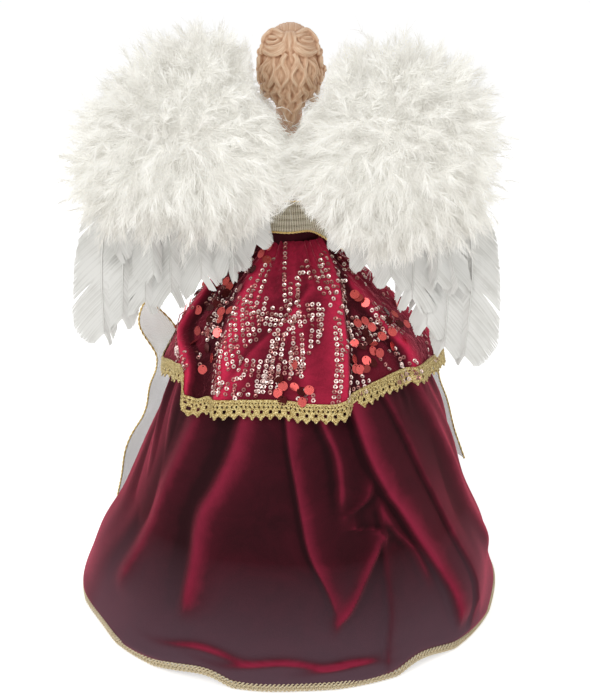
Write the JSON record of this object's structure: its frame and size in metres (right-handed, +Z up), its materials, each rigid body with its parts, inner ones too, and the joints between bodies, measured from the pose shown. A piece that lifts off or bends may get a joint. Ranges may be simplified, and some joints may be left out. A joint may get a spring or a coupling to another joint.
{
  "type": "dressed angel figurine",
  "caption": "Angel figurine with resin head and hands, velvet and sequin dress, sheer ribbon and bendable feather wings.",
  "frame": {"origin": "middle of the base ring, on the surface it stands on", "axes": "+Z up, the angel faces -Y, its left side is +X"},
  "size_m": [0.3016, 0.3016, 0.3997],
  "materials": {
    "burgundy_velvet": "matte",
    "sequined_velvet": "satin",
    "white_lining": "matte",
    "gold_lace": "satin",
    "cream_braid": "matte",
    "sheer_ribbon": "satin",
    "painted_resin": "satin",
    "foam": "matte",
    "hardboard": "matte",
    "white_card": "matte",
    "white_plastic": "satin",
    "steel_wire": "satin",
    "white_feather": "matte",
    "white_down": "matte"
  },
  "bodies": {
    "body": {"base_ring": "hardboard", "cone_body": "white_card", "skirt_lining": "white_lining", "velvet_skirt": "burgundy_velvet", "hem_braid": "cream_braid", "sequin_peplum": "sequined_velvet", "peplum_lace": "gold_lace", "torso_core": "foam", "velvet_bodice": "burgundy_velvet", "lace_collar": "gold_lace", "resin_head": "painted_resin", "wing_mount": "white_plastic", "ribbon_stole": "sheer_ribbon"},
    "left_arm": {"left_arm_wire": "steel_wire", "left_sleeve": "burgundy_velvet", "left_cuff": "gold_lace", "left_hand": "painted_resin"},
    "right_arm": {"right_arm_wire": "steel_wire", "right_sleeve": "burgundy_velvet", "right_cuff": "gold_lace", "right_hand": "painted_resin"},
    "left_wing": {"left_wing_wire": "steel_wire", "left_wing_card": "white_card", "left_wing_down_front": "white_down", "left_wing_feather_1": "white_feather", "left_wing_feather_2": "white_feather", "left_wing_feather_3": "white_feather", "left_wing_feather_4": "white_feather", "left_wing_feather_5": "white_feather", "left_wing_feather_6": "white_feather", "left_wing_down_back": "white_down"},
    "right_wing": {"right_wing_wire": "steel_wire", "right_wing_card": "white_card", "right_wing_down_front": "white_down", "right_wing_feather_1": "white_feather", "right_wing_feather_2": "white_feather", "right_wing_feather_3": "white_feather", "right_wing_feather_4": "white_feather", "right_wing_feather_5": "white_feather", "right_wing_feather_6": "white_feather", "right_wing_down_back": "white_down"}
  },
  "joints": [
    {"name": "left_shoulder_bend", "type": "hinge", "parent": "body", "child": "left_arm", "pos_m": [0, 0, 0.308], "axis": [1, 0, 0], "range_deg": [-40, 20]},
    {"name": "right_shoulder_bend", "type": "hinge", "parent": "body", "child": "right_arm", "pos_m": [0, 0, 0.308], "axis": [1, 0, 0], "range_deg": [-40, 20]},
    {"name": "left_wing_bend", "type": "hinge", "parent": "body", "child": "left_wing", "pos_m": [0.017, 0.02491, 0.292], "axis": [0, 0, 1], "range_deg": [-8, 20]},
    {"name": "right_wing_bend", "type": "hinge", "parent": "body", "child": "right_wing", "pos_m": [-0.017, 0.02491, 0.292], "axis": [0, 0, 1], "range_deg": [-20, 8]}
  ]
}
